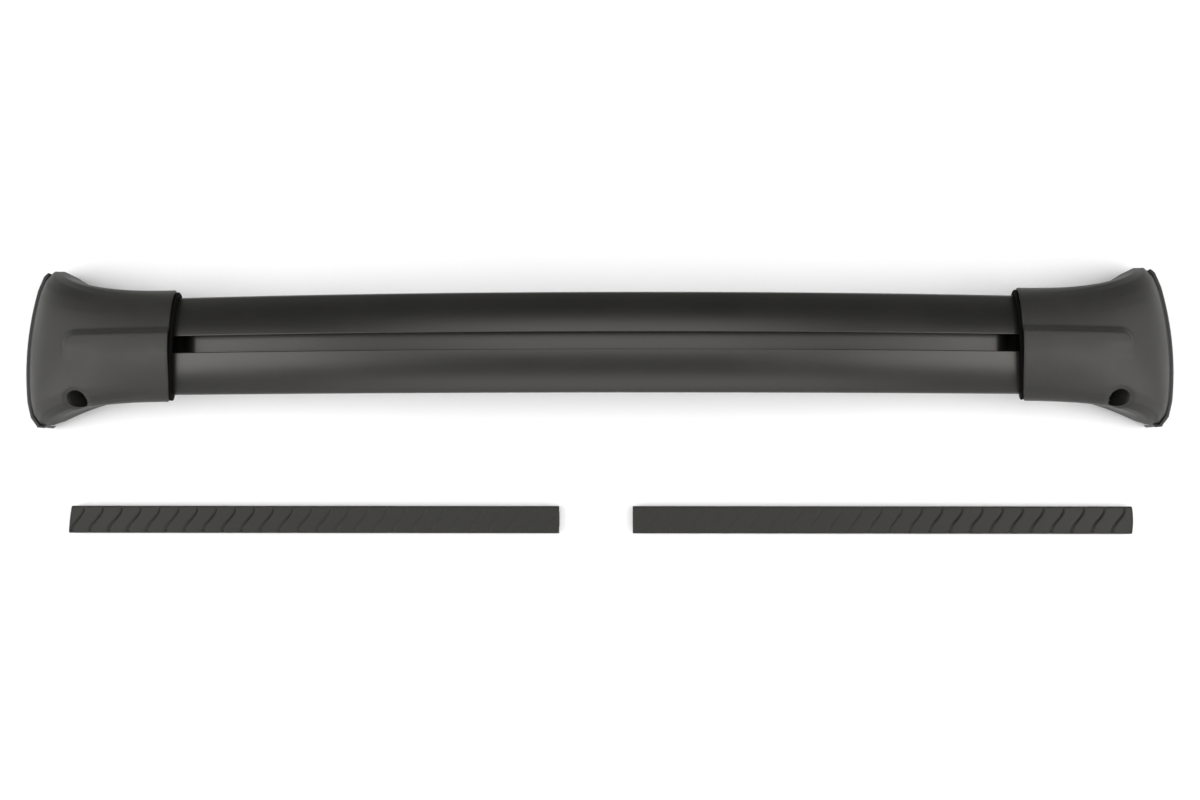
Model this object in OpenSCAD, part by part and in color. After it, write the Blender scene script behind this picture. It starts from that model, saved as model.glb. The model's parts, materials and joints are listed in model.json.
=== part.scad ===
/* Low-profile cross bar with two clamp feet and its two loose infill strips.
   X runs along the bar, Y across it, Z up. The origin is on the surface that
   the set rests on, at the middle of its footprint. */

/* [Bar] */
// Length of the extrusion, end to end, measured along X
bar_l = 808; // [800:2:812]
// Width of the aerofoil section (chord)
bar_w = 80; // [80:0.5:82]
// Height of the section above its mid-chord line
bar_crown = 15; // [14.5:0.25:15.5]
// Depth of the section below its mid-chord line
bar_belly = 11; // [10.5:0.25:11]
// Radius of the bow, measured at the crown
bow_r = 2250; // [2200:10:2300]
// Height of the crown at the middle of the bar
crown_z = 92; // [91:0.5:94]
// Wall thickness of the extrusion
wall = 2.4; // [2:0.1:2.6]

/* [T-slot] */
// Width of the slot's mouth
slot_mouth = 13.4; // [12:0.2:14]
// Width of the channel under the lips
slot_channel = 25; // [22:0.5:26]
// Thickness of the lips
slot_lip = 2.6; // [2.2:0.1:3]
// Height of the channel
slot_depth = 9; // [8:0.25:9]

/* [Foot] */
// Distance from the middle to a cover's mouth, at mid-chord
mouth_x = 345.5; // [344:0.5:347]
// Lean of the mouth: how far its top overhangs the bar, per mm of height
mouth_lean = 0.47; // [0.3:0.01:0.5]
// How much further out the mouth's front edge is, per mm across the bar
mouth_skew = 0.066; // [0:0.002:0.07]
// Distance from the middle to the outermost point of a foot
foot_x = 483; // [482:0.5:484]
// Radius of the foot's outer edge, seen from above
foot_r = 259; // [250:1:265]
// Turn of the flared rim, which reaches further out at the front
foot_skew = 3.8; // [3:0.1:4]
// Thickness of the moulded cover
cover_t = 3; // [2.5:0.25:3]
// Height of the cover's rim above the ground
rim_z = 19; // [19:0.25:20]

/* [Clamp] */
// Opening travel of the jaw along the clamp bolt
jaw_travel = 8; // [4:0.5:8]
// Rise of the clamp bolt above the horizontal
bolt_rise = 48; // [47:0.5:49]
// Turn of the clamp bolt towards the front
bolt_turn = 34; // [33:0.5:35]
// Radius of the tool guide in the cover
guide_r = 8; // [7.5:0.1:8]

/* [Infill strips] */
// Length of one infill strip
strip_l = 420; // [400:1:422]
// Width of a strip's cap
strip_w = 23; // [21:0.5:23]
// Height of a strip, stem and cap
strip_h = 7; // [6.5:0.25:8]

/* [Hidden] */
// Y of the bar's centre line and of the strips laid in front of it
bar_y = 44;
strip_y = -99.8;
strip_gap_l = 30;
strip_gap_r = 32.5;

// Aerofoil section: crown and belly arcs, tangent to two round edges
edge_r = 4;
edge_y = bar_w / 2 - edge_r;
crown_r = (edge_y * edge_y + bar_crown * bar_crown - edge_r * edge_r)
    / (2 * (bar_crown - edge_r));
belly_r = (edge_y * edge_y + bar_belly * bar_belly - edge_r * edge_r)
    / (2 * (bar_belly - edge_r));
crown_a = atan2(edge_y, crown_r - bar_crown);
belly_a = atan2(edge_y, belly_r - bar_belly);

// Bow: the mid-chord line is an arc about a centre far below the bar
mid_r = bow_r - bar_crown;
bow_z = crown_z - bow_r;
end_a = asin(bar_l / 2 / mid_r);
mouth_a = asin(mouth_x / mid_r);

// Heights inside the section, from the mid-chord line
lip_z = bar_crown - slot_lip;
floor_z = lip_z - slot_depth;
floor_t = 2.2;
web_t = 2.2;
window_a = asin(341 / mid_r);
window_l = 14;

// Foot: the rim ring, from an inner edge under the bar to the outer arc
arc_x = foot_x - foot_r;
lip_t = 3.1;
cover_arc_r = foot_r - lip_t - 0.4;
tip_y = 75;
tip_a = asin(tip_y / cover_arc_r);
inner_x = 385;
inner_y = 38.5;
flank_bend = 1.54;
skew_x = 430;
ring_n = 56;
ring_u = 14;
corner = 38;
sleeve_gap = 5.5;
flare = 0.35;

// Clamp: the bolt's line, from its seat on the base
seat = [408.2, -31.8, 25.4];
bolt_r = 4;
bolt_l = jaw_travel + 19.5;
head_r = 6.5;
head_h = 8;
washer_t = 1.6;
nut_r = 4.7;
nut_at = 23.7;
pin_r = 3;
pin_dy = 46.5;
base_t = 6;
claw_x = 462;
claw_t = 6;
claw_y = 38;
pad_x = [430, 456];
pad_y = 44;
pad_t = 3;
jaw_x = [390.3, 420];
jaw_y = [-31.5, 30.5];
jaw_z = [1, 12.5];
bar_screw_x = 397;
bar_screw_y = 7;
cover_screw = [448, 36];
collar_at = 12;

// A small clearance between pieces of one assembly
gap = 0.2;
$fn = 48;

// ---- helpers ----

// Points of an arc about [cx, cy]; angles are measured from +Y towards +X
function arc(cx, cy, r, a0, a1, n) =
    [for (i = [0:n]) let (a = a0 + (a1 - a0) * i / n) [cx + r * sin(a), cy + r * cos(a)]];

// The aerofoil section grown by g, as [chord, height] points
function aero(g, n) = concat(
    arc(0, bar_crown - crown_r, crown_r + g, -crown_a, crown_a, n),
    arc(edge_y, 0, edge_r + g, crown_a + 15, 180 - belly_a - 15, 6),
    arc(0, belly_r - bar_belly, belly_r + g, 180 - belly_a, 180 + belly_a, n),
    arc(-edge_y, 0, edge_r + g, 180 + belly_a + 15, 360 - crown_a - 15, 6)
);

// The same with its height along x, which is how the sweep takes it
function upright(pts) = [for (p = pts) [p[1], p[0]]];

// Sweeps a section along the bow, from angle a0 to a1 off the vertical
module along_bow(a0, a1) {
    translate([0, 0, bow_z])
        rotate([90, 0, 0])
            rotate_extrude(angle = a1 - a0, start = 90 - a1, $fn = 720)
                translate([mid_r, 0])
                    children();
}

// Puts a piece in the section's own frame at angle a of the bow
module at_bow(a) {
    translate([0, 0, bow_z])
        rotate([0, a, 0])
            translate([0, 0, mid_r])
                children();
}

// Puts a piece on the clamp bolt's line: +Z runs out of the foot
module at_bolt(dy = 0) {
    translate(seat + [0, dy, 0])
        rotate([0, 0, -bolt_turn])
            rotate([0, 90 - bolt_rise, 0])
                children();
}

// Right-hand pieces as drawn, left-hand pieces mirrored
module on_side(side) {
    translate([0, bar_y, 0])
        mirror([side < 0 ? 1 : 0, 0, 0])
            children();
}

// A box from its lowest and highest corners
module block(low, high) {
    translate(low)
        cube(high - low);
}

// ---- the cover's surface ----

// One point of the rim before it is smoothed; t runs round the ring, 90 is the outermost
function rim_raw(t, inset, side) =
    t > 270 ? rim_raw(t - 360, inset, side) :
    t < -90 ? rim_raw(t + 360, inset, side) :
    abs(t - 90) <= 90 - corner ?
        let (a = tip_a * (90 - t) / (90 - corner))
        [arc_x + (cover_arc_r - inset) * cos(a), (cover_arc_r - inset) * sin(a)] :
    abs(t) < corner || abs(t - 180) < corner ?
        let (
            near = abs(t) < corner,
            s = ((near ? t : 180 - t) + corner) / (2 * corner),
            tip_x = arc_x + (cover_arc_r - inset) * cos(tip_a),
            y = inner_y + (tip_y - inner_y) * pow(s, flank_bend) - side
        )
        [inner_x + inset + (tip_x - inner_x - inset) * s, near ? y : -y] :
    let (k = (t < 0 ? t + 90 : t - 270) / (90 - corner))
    [inner_x + inset, (inner_y - side) * k];

// The rim with its corners rounded and the whole ring turned by the skew
function rim(t, inset, side) =
    let (
        e = 10,
        p = (rim_raw(t - 2 * e, inset, side) + 2 * rim_raw(t - e, inset, side)
            + 3 * rim_raw(t, inset, side) + 2 * rim_raw(t + e, inset, side)
            + rim_raw(t + 2 * e, inset, side)) / 9,
        c = [skew_x, 0],
        q = p - c
    )
    c + [q[0] * cos(foot_skew) - q[1] * sin(foot_skew),
         q[0] * sin(foot_skew) + q[1] * cos(foot_skew)];

// A point of the mouth's oval, in the section's frame, turned to the foot's frame
function mouth(t, inset) =
    let (
        g = sleeve_gap - inset,
        h = (sin(t) > 0 ? bar_crown + g : bar_belly + g) * sin(t),
        y = (bar_w / 2 + g) * cos(t),
        w = mouth_lean * h + mouth_skew * y
    )
    [(mid_r + h) * sin(mouth_a) - w * cos(mouth_a), y,
     bow_z + (mid_r + h) * cos(mouth_a) + w * sin(mouth_a)];

// The cover's skin: a Bezier from the mouth, along the bar, down to the rim
function skin(t, u, inset) =
    let (
        s = mouth(t, inset),
        e2 = rim(t, inset, inset),
        e = [e2[0], e2[1], rim_z],
        reach = 0.55 * (e[0] - s[0]),
        drop = 0.6 * (s[2] - e[2]),
        out = e2 - [skew_x, 0],
        n = out / norm(out) * flare * (1 + sin(t)) / 2,
        p1 = s + reach * [cos(mouth_a), 0, -sin(mouth_a)],
        p2 = e + drop * [-n[0], -n[1], 1],
        v = 1 - u
    )
    v * v * v * s + 3 * v * v * u * p1 + 3 * v * u * u * p2 + u * u * u * e;

// The average of a ring's points
function middle(ring) = [for (k = [0:2]) [for (p = ring) p[k]] * [for (p = ring) 1 / len(ring)]];

// A closed solid between rings of equal length, either a loop of rings or with fans as caps
module tube_of(rings, closed) {
    n = len(rings[0]);
    m = len(rings);
    last = closed ? m : m - 1;
    sides = [for (i = [0:last - 1], j = [0:n - 1])
        let (
            a = i * n + j,
            b = i * n + (j + 1) % n,
            c = ((i + 1) % m) * n + (j + 1) % n,
            d = ((i + 1) % m) * n + j
        )
        each [[a, c, b], [a, d, c]]];
    caps = closed ? [] : [for (j = [0:n - 1]) let (k = (j + 1) % n, e = (m - 1) * n)
        each [[m * n, j, k], [m * n + 1, e + k, e + j]]];
    ends = closed ? [] : [middle(rings[0]), middle(rings[m - 1])];
    polyhedron(concat([for (r = rings) each r], ends), concat(sides, caps));
}

function skin_ring(u, inset) =
    [for (j = [0:ring_n - 1]) skin(360 * j / ring_n, u, inset)];

// The cover's shell: outer skin from mouth to rim, and back along the inner one
module cover_shell() {
    outer = [for (i = [0:ring_u]) skin_ring(i / ring_u, 0)];
    inner = [for (i = [0:ring_u]) skin_ring(1 - i / ring_u, cover_t)];
    tube_of(concat(outer, inner), true);
}

// Everything inside the outer skin, to trim bosses with
module cover_core() {
    tube_of([for (i = [0:ring_u]) skin_ring(i / ring_u, cover_t / 2)], false);
}

// ---- bar ----

module bar_section() {
    difference() {
        polygon(upright(aero(0, 16)));
        translate([lip_z - 1, -slot_mouth / 2])
            square([slot_lip + 4, slot_mouth]);
        translate([floor_z, -slot_channel / 2])
            square([slot_depth, slot_channel]);
        intersection() {
            polygon(upright(aero(-wall, 12)));
            union() {
                for (s = [-1, 1])
                    translate([-bar_belly, s > 0 ? slot_channel / 2 + web_t : -bar_w / 2])
                        square([bar_belly + bar_crown, bar_w / 2 - slot_channel / 2 - web_t]);
                translate([-bar_belly, -slot_channel / 2])
                    square([bar_belly + floor_z - floor_t, slot_channel]);
            }
        }
    }
}

module bar() {
    color([0.07, 0.07, 0.075])
        translate([0, bar_y, 0])
            difference() {
                along_bow(-end_a, end_a)
                    bar_section();
                for (s = [-1, 1]) {
                    at_bow(s * window_a)
                        translate([0, 0, floor_z - floor_t / 2])
                            cube([window_l, slot_mouth + 2, floor_t + 2], center = true);
                    for (y = [-1, 1])
                        at_bow(s * asin(bar_screw_x / mid_r))
                            translate([0, y * bar_screw_y, -bar_belly - 1])
                                cylinder(r = 3.3, h = wall + 2.5);
                }
            }
}

// ---- foot pieces, drawn for the right-hand foot about y = 0 ----

module foot_cover(side) {
    color([0.12, 0.12, 0.125])
        on_side(side)
            difference() {
                union() {
                    cover_shell();
                    intersection() {
                        cover_core();
                        union() {
                            for (y = [-1, 1])
                                translate([cover_screw[0], y * cover_screw[1], rim_z + base_t + gap])
                                    cylinder(r = 5, h = 60);
                            at_bolt()
                                translate([0, 0, collar_at])
                                    cylinder(r = guide_r + 1.8, h = 40);
                        }
                    }
                }
                for (y = [-1, 1])
                    translate([cover_screw[0], y * cover_screw[1], rim_z + base_t - 1])
                        cylinder(r = 1.8, h = 13);
                at_bolt()
                    translate([0, 0, washer_t + head_h])
                        cylinder(r = guide_r, h = 60);
            }
}

// The space between two planes parallel to the mouth, x0 and x1 along the bar from it
module mouth_slice(x0, x1) {
    turn = atan(mouth_skew);
    lean = atan(mouth_lean * cos(turn));
    k = cos(turn) * cos(lean);
    at_bow(mouth_a)
        rotate([0, 0, turn])
            rotate([0, -lean, 0])
                translate([x0 * k, -100, -100])
                    cube([(x1 - x0) * k, 200, 200]);
}

// A sleeve round the bar at the mouth, with its wall from gap to g
module bar_sleeve(g) {
    reach_a = 3;
    along_bow(mouth_a - reach_a / 4, mouth_a + reach_a / 4)
        difference() {
            polygon(upright(aero(g, 12)));
            polygon(upright(aero(0.15, 12)));
        }
}

module mouth_seal(side) {
    out_l = 3.8;
    in_l = 6;
    mouth_gap = 0.5;
    color([0.03, 0.03, 0.03])
        on_side(side)
            union() {
                intersection() {
                    bar_sleeve(4.9);
                    mouth_slice(-out_l, -mouth_gap);
                }
                intersection() {
                    bar_sleeve(1.7);
                    mouth_slice(-1.5, in_l);
                }
            }
}

// A band along the foot's outer edge, between two insets of the rim and from ring angle t0 to t1
module edge_band(in0, in1, t0, t1) {
    n = 36;
    angles = [for (i = [0:n]) t0 + (t1 - t0) * i / n];
    polygon(concat(
        [for (t = angles) rim(t, in0, in0)],
        [for (i = [n:-1:0]) rim(angles[i], in1, in1)]
    ));
}

module outer_lip(side) {
    lip_gap = 0.4;
    color([0.10, 0.10, 0.105])
        on_side(side)
            union() {
                translate([0, 0, 3])
                    linear_extrude(height = 18.5)
                        edge_band(-lip_gap, -lip_gap - lip_t, 42, 148);
                translate([0, 0, 13.5])
                    linear_extrude(height = 2.5)
                        edge_band(3.5, -lip_gap - 1, 56, 124);
            }
}

module base_gasket(side) {
    color([0.03, 0.03, 0.03])
        on_side(side)
            translate([0, 0, rim_z - 2.5])
                linear_extrude(height = 2.5)
                    difference() {
                        polygon([for (j = [0:ring_n - 1]) rim(360 * j / ring_n, 0.3, 0.2)]);
                        polygon([for (j = [0:ring_n - 1]) rim(360 * j / ring_n, 3, 3)]);
                    }
}

module foot_base(side) {
    rib_y = 24;
    color([0.25, 0.25, 0.26])
        on_side(side)
            difference() {
                union() {
                    translate([0, 0, rim_z])
                        linear_extrude(height = base_t)
                            polygon([for (j = [0:ring_n - 1]) rim(360 * j / ring_n, 6.5, 7.5)]);
                    difference() {
                        block([393.5, -32, rim_z], [403, 32, 45]);
                        along_bow(mouth_a, end_a + 0.5)
                            polygon(upright(aero(gap, 12)));
                    }
                    for (y = [-1, 1])
                        block([402, y * rib_y - 2, rim_z], [458, y * rib_y + 2, 33]);
                    block([claw_x, -claw_y, 0], [claw_x + claw_t, claw_y, rim_z + 1]);
                    block([claw_x - 4, -claw_y, 0], [claw_x + 1, claw_y, 4]);
                    intersection() {
                        at_bolt()
                            translate([0, 0, -14])
                                cylinder(r = 6.8, h = 14);
                        block([380, -60, rim_z + 1], [440, 0, 50]);
                    }
                }
                at_bolt()
                    translate([0, 0, -30])
                        cylinder(r = bolt_r + 0.4, h = 31);
                at_bolt()
                    cylinder(r = head_r + 2.2, h = 20);
                at_bolt(pin_dy)
                    translate([0, 0, -30])
                        cylinder(r = pin_r + 0.02, h = 40);
                for (y = [-1, 1]) {
                    at_bow(asin(bar_screw_x / mid_r))
                        translate([0, y * bar_screw_y, -40])
                            cylinder(r = 3.3, h = 40);
                    at_bow(asin(bar_screw_x / mid_r))
                        translate([0, y * bar_screw_y, -40])
                            cylinder(r = 5.4, h = 25);
                    translate([cover_screw[0], y * cover_screw[1], rim_z - 1])
                        cylinder(r = 2.2, h = base_t + 2);
                    translate([cover_screw[0], y * cover_screw[1], rim_z - 1])
                        cylinder(r = 4, h = 3.6);
                }
            }
}

module rail_pad(side) {
    color([0.03, 0.03, 0.03])
        on_side(side)
            block([pad_x[0], -pad_y, rim_z - pad_t], [pad_x[1], pad_y, rim_z]);
}

module nut_plate(side) {
    color([0.6, 0.6, 0.62])
        on_side(side)
            at_bow(asin((bar_screw_x - 6) / mid_r))
                difference() {
                    translate([0, 0, -bar_belly + wall + 2.9])
                        cube([24, 22, 4], center = true);
                    for (y = [-1, 1])
                        translate([6, y * bar_screw_y, -20])
                            cylinder(r = 3.05, h = 30);
                }
}

module bar_screws(side) {
    color([0.5, 0.5, 0.52])
        on_side(side)
            for (y = [-1, 1])
                at_bow(asin(bar_screw_x / mid_r))
                    translate([0, y * bar_screw_y, -15])
                        difference() {
                            union() {
                                translate([0, 0, -4])
                                    cylinder(r = 5, h = 4);
                                cylinder(r = 3, h = 11);
                            }
                            translate([0, 0, -5])
                                cylinder(r = 2.3, h = 3.4, $fn = 6);
                        }
}

module cover_screws(side) {
    color([0.5, 0.5, 0.52])
        on_side(side)
            for (y = [-1, 1])
                translate([cover_screw[0], y * cover_screw[1], rim_z + 0.1])
                    difference() {
                        union() {
                            cylinder(r = 3.6, h = 2.4);
                            cylinder(r = 1.75, h = 16);
                        }
                        translate([0, 0, -1])
                            cylinder(r = 1.5, h = 2.6, $fn = 6);
                    }
}

module clamp_bolt(side) {
    color([0.6, 0.6, 0.62])
        on_side(side)
            at_bolt()
                difference() {
                    union() {
                        translate([0, 0, washer_t + 0.05])
                            cylinder(r = head_r, h = head_h);
                        translate([0, 0, -bolt_l])
                            cylinder(r = bolt_r, h = bolt_l + washer_t + 1);
                    }
                    translate([0, 0, washer_t + head_h - 4])
                        cylinder(r = 3.5, h = 5, $fn = 6);
                }
}

module bolt_washer(side) {
    color([0.65, 0.65, 0.66])
        on_side(side)
            at_bolt()
                difference() {
                    cylinder(r = 6.7, h = washer_t);
                    translate([0, 0, -1])
                        cylinder(r = bolt_r + 0.35, h = washer_t + 2);
                }
}

module guide_pin(side) {
    color([0.7, 0.7, 0.72])
        on_side(side)
            at_bolt(pin_dy)
                translate([0, 0, -bolt_l])
                    cylinder(r = pin_r, h = bolt_l - 0.5);
}

module clamp_jaw(side) {
    toe_x = jaw_x[1] + 6;
    color([0.25, 0.25, 0.26])
        on_side(side)
            difference() {
                union() {
                    block([jaw_x[0], jaw_y[0], jaw_z[0]], [jaw_x[1], jaw_y[1], jaw_z[1]]);
                    block([jaw_x[1] - 1, jaw_y[0], jaw_z[0]], [toe_x, jaw_y[1], jaw_z[0] + 3.5]);
                }
                at_bolt()
                    translate([0, 0, -60])
                        cylinder(r = bolt_r + 0.35, h = 80);
                at_bolt(pin_dy)
                    translate([0, 0, -60])
                        cylinder(r = pin_r + 0.08, h = 80);
                at_bolt()
                    translate([0, 0, -nut_at])
                        rotate([90, 0, 0])
                            translate([0, 0, -7.5])
                                cylinder(r = nut_r + 0.1, h = 60);
            }
}

module jaw_pad(side) {
    color([0.03, 0.03, 0.03])
        on_side(side)
            block([jaw_x[1], jaw_y[0] + 2, jaw_z[0] + 3.5 + gap],
                [jaw_x[1] + 2, jaw_y[1] - 2, jaw_z[1]]);
}

module barrel_nut(side) {
    color([0.7, 0.7, 0.72])
        on_side(side)
            at_bolt()
                difference() {
                    translate([0, 0, -nut_at])
                        rotate([90, 0, 0])
                            translate([0, 0, -7])
                                cylinder(r = nut_r, h = 14);
                    translate([0, 0, -60])
                        cylinder(r = bolt_r + 0.05, h = 80);
                }
}

// ---- infill strips ----

module infill_strip(x0) {
    stem = 6.2;
    cap_z = 4;
    bevel = 1.3;
    half = strip_w / 2;
    color([0.06, 0.06, 0.06])
        translate([x0, strip_y, 0])
            rotate([90, 0, 90])
                linear_extrude(height = strip_l)
                    polygon([
                        [-stem, 0], [stem, 0], [stem, cap_z], [half, cap_z],
                        [half, strip_h - 0.7], [half - bevel, strip_h],
                        [bevel - half, strip_h], [-half, strip_h - 0.7],
                        [-half, cap_z], [-stem, cap_z]
                    ]);
}

module left_infill_strip() { infill_strip(-strip_gap_l - strip_l); }
module right_infill_strip() { infill_strip(strip_gap_r); }

bar();
foot_cover(-1);  // left_foot_cover
foot_cover(1);  // right_foot_cover
mouth_seal(-1);  // left_mouth_seal
mouth_seal(1);  // right_mouth_seal
outer_lip(-1);  // left_outer_lip
outer_lip(1);  // right_outer_lip
base_gasket(-1);  // left_base_gasket
base_gasket(1);  // right_base_gasket
foot_base(-1);  // left_foot_base
foot_base(1);  // right_foot_base
rail_pad(-1);  // left_rail_pad
rail_pad(1);  // right_rail_pad
nut_plate(-1);  // left_nut_plate
nut_plate(1);  // right_nut_plate
bar_screws(-1);  // left_bar_screws
bar_screws(1);  // right_bar_screws
cover_screws(-1);  // left_cover_screws
cover_screws(1);  // right_cover_screws
clamp_bolt(-1);  // left_clamp_bolt
clamp_bolt(1);  // right_clamp_bolt
bolt_washer(-1);  // left_bolt_washer
bolt_washer(1);  // right_bolt_washer
guide_pin(-1);  // left_guide_pin
guide_pin(1);  // right_guide_pin
clamp_jaw(-1);  // left_clamp_jaw
clamp_jaw(1);  // right_clamp_jaw
jaw_pad(-1);  // left_jaw_pad
jaw_pad(1);  // right_jaw_pad
barrel_nut(-1);  // left_barrel_nut
barrel_nut(1);  // right_barrel_nut
left_infill_strip();
right_infill_strip();
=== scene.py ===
"""Cross bar with two clamp feet and two loose infill strips: the looks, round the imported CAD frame.

Lengths in the shape functions are millimetres in the frame's axes; to_mesh() turns them into metres.
"""

import json
import math

import bmesh
import bpy
import numpy as np
from mathutils import Euler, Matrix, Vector


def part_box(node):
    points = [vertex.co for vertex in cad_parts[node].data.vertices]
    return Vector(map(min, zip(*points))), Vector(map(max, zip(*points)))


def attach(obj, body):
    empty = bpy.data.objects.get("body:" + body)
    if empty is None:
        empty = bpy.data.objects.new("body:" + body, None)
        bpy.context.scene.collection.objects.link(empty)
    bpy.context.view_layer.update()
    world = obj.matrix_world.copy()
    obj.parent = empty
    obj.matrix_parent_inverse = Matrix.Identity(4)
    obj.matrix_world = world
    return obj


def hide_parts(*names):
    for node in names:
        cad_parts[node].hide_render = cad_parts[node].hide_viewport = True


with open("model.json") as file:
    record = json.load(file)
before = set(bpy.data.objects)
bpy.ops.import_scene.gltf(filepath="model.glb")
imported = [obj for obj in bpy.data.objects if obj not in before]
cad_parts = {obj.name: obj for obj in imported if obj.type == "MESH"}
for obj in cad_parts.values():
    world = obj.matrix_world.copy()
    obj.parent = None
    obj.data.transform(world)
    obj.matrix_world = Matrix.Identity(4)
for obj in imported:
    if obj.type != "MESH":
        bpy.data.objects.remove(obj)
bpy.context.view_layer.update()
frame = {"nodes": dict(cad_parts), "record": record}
MM = 0.001
SIDES = {"left": -1, "right": 1}

# ---- driving dimensions, in millimetres ----
bar_low, bar_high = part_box("bar")
BAR_Y = (bar_low.y + bar_high.y) / 2 / MM
BAR_W = (bar_high.y - bar_low.y) / MM
BAR_L = 808.0
BAR_CROWN, BAR_BELLY = 15.0, 11.0
BAR_WALL = 2.4
BOW_R = 2250.0
CROWN_Z = bar_high.z / MM
MID_R = BOW_R - BAR_CROWN
BOW_Z = CROWN_Z - BOW_R

SLOT_MOUTH, SLOT_CHANNEL, SLOT_LIP, SLOT_DEPTH = 13.4, 25.0, 2.6, 9.0
SLOT_FLOOR_T, SLOT_WEB_T = 2.2, 2.2
WINDOW_X, WINDOW_L, WINDOW_W = 341.0, 14.0, 15.4

MOUTH_X = 345.5
# The mouth's edge, front half and back half: distance from the middle, and lean with height
MOUTH_FRONT, LEAN_FRONT = 347.6, 0.38
MOUTH_BACK, LEAN_BACK = 343.3, 0.15
FOOT_X, FOOT_R, FOOT_SKEW = 483.0, 259.0, math.radians(3.8)
COVER_T = 3.0
RIM_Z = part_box("right_foot_cover")[0].z / MM
EDGE_R = 4.0
EDGE_Y = BAR_W / 2 - EDGE_R
LIP_T = 3.1
ARC_X = FOOT_X - FOOT_R
COVER_ARC_R = FOOT_R - LIP_T - 0.4
TIP_Y, INNER_X, INNER_Y, SKEW_X = 75.0, 385.0, 38.5, 430.0
CORNER, FLANK_BEND = 38.0, 1.54
SLEEVE_GAP = 5.5
FLARE, SHOULDER_FLARE = 0.35, 0.55
SHOULDER_IN, SHOULDER_H = 3.5, 6.8
CREASE_Y, CREASE_H, CREASE_END, CREASE_CORNER = 10.5, 2.4, 433.5, 9.0
BOLT_SEAT = np.array([408.2, -31.8, 25.4])
BOLT_RISE, BOLT_TURN = math.radians(48), math.radians(34)
# The tool guide's bore, and how far along the bolt's line from its seat the tube and the cut begin
GUIDE_R, GUIDE_WALL = 8.0, 1.8
GUIDE_FROM, GUIDE_CUT_FROM, GUIDE_TO = 20.0, 9.6, 60.0


# ---- small mesh helpers ----

def to_mesh(name, points, faces, smooth=True, side=1):
    """A mesh object from points in millimetres, mirrored in X for side -1."""
    pts = np.asarray(points, float) * MM
    if side < 0:
        pts = pts * np.array([-1, 1, 1])
        faces = [tuple(reversed(f)) for f in faces]
    mesh = bpy.data.meshes.new(name)
    mesh.from_pydata(pts.tolist(), [], faces)
    mesh.update()
    for p in mesh.polygons:
        p.use_smooth = smooth
    obj = bpy.data.objects.new(name, mesh)
    bpy.context.scene.collection.objects.link(obj)
    return obj


def grid_faces(rows, cols, wrap_rows=False, wrap_cols=True, start=0):
    """Quads between rows of points; rows and columns may close on themselves."""
    faces = []
    for i in range(rows if wrap_rows else rows - 1):
        for j in range(cols if wrap_cols else cols - 1):
            a = start + i * cols + j
            b = start + i * cols + (j + 1) % cols
            c = start + ((i + 1) % rows) * cols + (j + 1) % cols
            d = start + ((i + 1) % rows) * cols + j
            faces.append((a, b, c, d))
    return faces


def applied(obj):
    """The object with its modifiers turned into plain mesh."""
    graph = bpy.context.evaluated_depsgraph_get()
    mesh = bpy.data.meshes.new_from_object(obj.evaluated_get(graph))
    obj.modifiers.clear()
    obj.data = mesh
    return obj


def cut(obj, cutter, operation="DIFFERENCE"):
    """Cuts or joins with another closed mesh, which is then removed."""
    mod = obj.modifiers.new("cut", "BOOLEAN")
    mod.operation = operation
    mod.solver = "MANIFOLD"
    mod.object = cutter
    applied(obj)
    bpy.data.objects.remove(cutter)
    return obj


def sharp_by_angle(obj, degrees=35):
    """Smooth shading that keeps real edges crisp."""
    mesh = obj.data
    for p in mesh.polygons:
        p.use_smooth = True
    bm = bmesh.new()
    bm.from_mesh(mesh)
    limit = math.radians(degrees)
    for e in bm.edges:
        if len(e.link_faces) == 2:
            e.smooth = e.calc_face_angle(0) < limit
    bm.to_mesh(mesh)
    bm.free()
    return obj


def outward(obj):
    """Turns all the faces of a closed mesh outward."""
    bm = bmesh.new()
    bm.from_mesh(obj.data)
    bmesh.ops.recalc_face_normals(bm, faces=bm.faces)
    bm.to_mesh(obj.data)
    bm.free()
    return obj


# ---- shapes of the frame ----

CROWN_R = (EDGE_Y ** 2 + BAR_CROWN ** 2 - EDGE_R ** 2) / (2 * (BAR_CROWN - EDGE_R))
BELLY_R = (EDGE_Y ** 2 + BAR_BELLY ** 2 - EDGE_R ** 2) / (2 * (BAR_BELLY - EDGE_R))
CROWN_A = math.atan2(EDGE_Y, CROWN_R - BAR_CROWN)
BELLY_A = math.atan2(EDGE_Y, BELLY_R - BAR_BELLY)
MOUTH_A = math.asin(MOUTH_X / MID_R)
TIP_A = math.asin(TIP_Y / COVER_ARC_R)


def arc(cx, cy, r, a0, a1, n):
    """Points of an arc; angles run from the second axis towards the first."""
    a = np.linspace(a0, a1, n)
    return [(cx + r * math.sin(t), cy + r * math.cos(t)) for t in a]


def aero(g=0.0, n=40):
    """The aerofoil section grown by g: (chord, height) points, clockwise from the crown's left."""
    step = math.radians(15)
    return (
        arc(0, BAR_CROWN - CROWN_R, CROWN_R + g, -CROWN_A, CROWN_A, n)
        + arc(EDGE_Y, 0, EDGE_R + g, CROWN_A + step, math.pi - BELLY_A - step, 8)
        + arc(0, BELLY_R - BAR_BELLY, BELLY_R + g, math.pi - BELLY_A, math.pi + BELLY_A, n)
        + arc(-EDGE_Y, 0, EDGE_R + g, math.pi + BELLY_A + step, 2 * math.pi - CROWN_A - step, 8)
    )


def on_bow(x, y, h):
    """Points at section position (y, h), x along the bar, on the bow."""
    r = MID_R + h
    z = BOW_Z + np.sqrt(r * r - x * x)
    x, y, z = np.broadcast_arrays(x, y, z)
    return np.stack([x, y + BAR_Y, z], -1)


def smooth(x, a, b):
    """0 before a, 1 after b, eased between."""
    t = np.clip((x - a) / (b - a), 0, 1)
    return t * t * (3 - 2 * t)


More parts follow.
